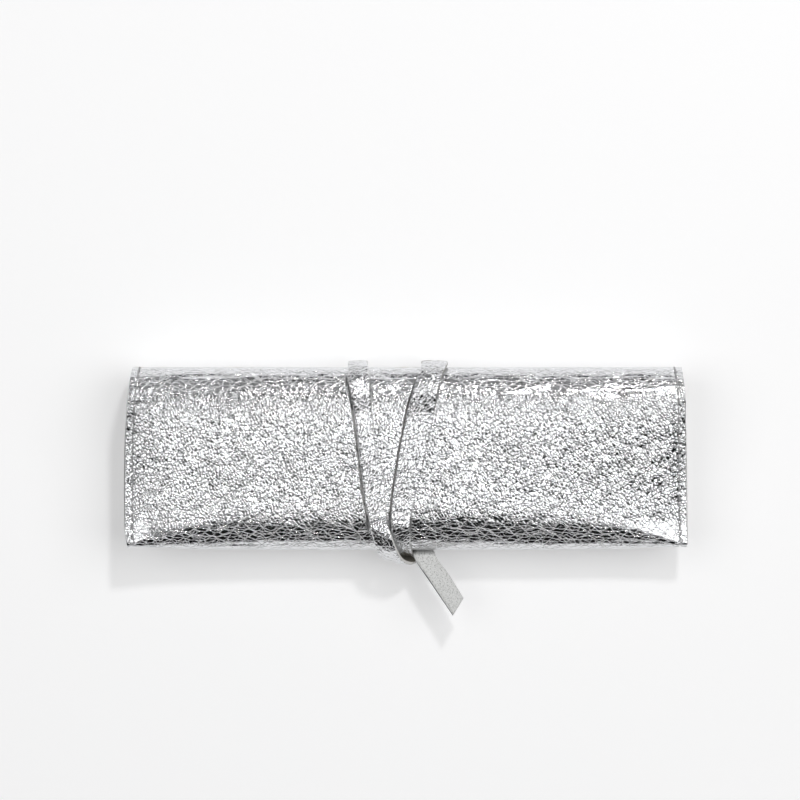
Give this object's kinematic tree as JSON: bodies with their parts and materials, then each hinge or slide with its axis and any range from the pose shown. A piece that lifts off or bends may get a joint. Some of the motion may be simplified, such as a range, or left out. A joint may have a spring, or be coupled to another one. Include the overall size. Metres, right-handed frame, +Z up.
{
  "type": "eyeglasses case",
  "caption": "Soft silver leather eyeglasses case with a fold-over flap, sewn side seams and a flat leather lace wound round the middle to keep it shut.",
  "frame": {"origin": "centre of the bounding box, on the surface the case lies on", "axes": "+X along the case's length, +Y towards the spine (the flap's bend), +Z up out of the back panel, the lace's free end points towards -Y"},
  "size_m": [0.1844, 0.0834, 0.0237],
  "materials": {
    "silver_leather": "metallic silver, pebble grained, soft sheen",
    "suede_lining": "matt light grey suede",
    "silver_thread": "grey twisted thread, slight sheen",
    "silver_lace": "metallic silver, grained, raw cut edges"
  },
  "bodies": {
    "case": {"back_panel": "silver_leather", "back_lining": "suede_lining", "pocket_fold": "silver_leather", "pocket_front": "silver_leather", "pocket_lining": "suede_lining", "lace_winding_left": "silver_lace", "lace_winding_right": "silver_lace", "lace_riser": "silver_lace", "seam_thread_left": "silver_thread", "seam_thread_right": "silver_thread"},
    "spine": {"spine_leather": "silver_leather", "spine_lining": "suede_lining", "lace_spine_left": "silver_lace", "lace_spine_right": "silver_lace", "spine_thread_left": "silver_thread", "spine_thread_right": "silver_thread"},
    "flap": {"flap_leather": "silver_leather", "flap_lining": "suede_lining", "lace_under_left": "silver_lace", "lace_under_right": "silver_lace", "lace_fixed_end": "silver_lace", "fixed_end_stitches": "silver_thread", "flap_thread_left": "silver_thread", "flap_thread_right": "silver_thread"},
    "tail": {"lace_tail": "silver_lace"}
  },
  "joints": [
    {"name": "spine_bend", "type": "hinge", "parent": "case", "child": "spine", "pos_m": [0, 0.03807, 0.02044], "axis": [1, 0, 0], "range_deg": [0, 90], "stiffness_Nm_per_rad": 0.004},
    {"name": "flap_bend", "type": "hinge", "parent": "spine", "child": "flap", "pos_m": [0, 0.03807, 0.00156], "axis": [1, 0, 0], "range_deg": [0, 90], "stiffness_Nm_per_rad": 0.004},
    {"name": "tail_bend", "type": "hinge", "parent": "case", "child": "tail", "pos_m": [0.0063, -0.02234, 0.011], "axis": [1, 0, 0], "range_deg": [-60, 10], "stiffness_Nm_per_rad": 0.0006}
  ],
  "couplings": [
    {"joint": "flap_bend", "follows": "spine_bend", "ratio": 1}
  ]
}
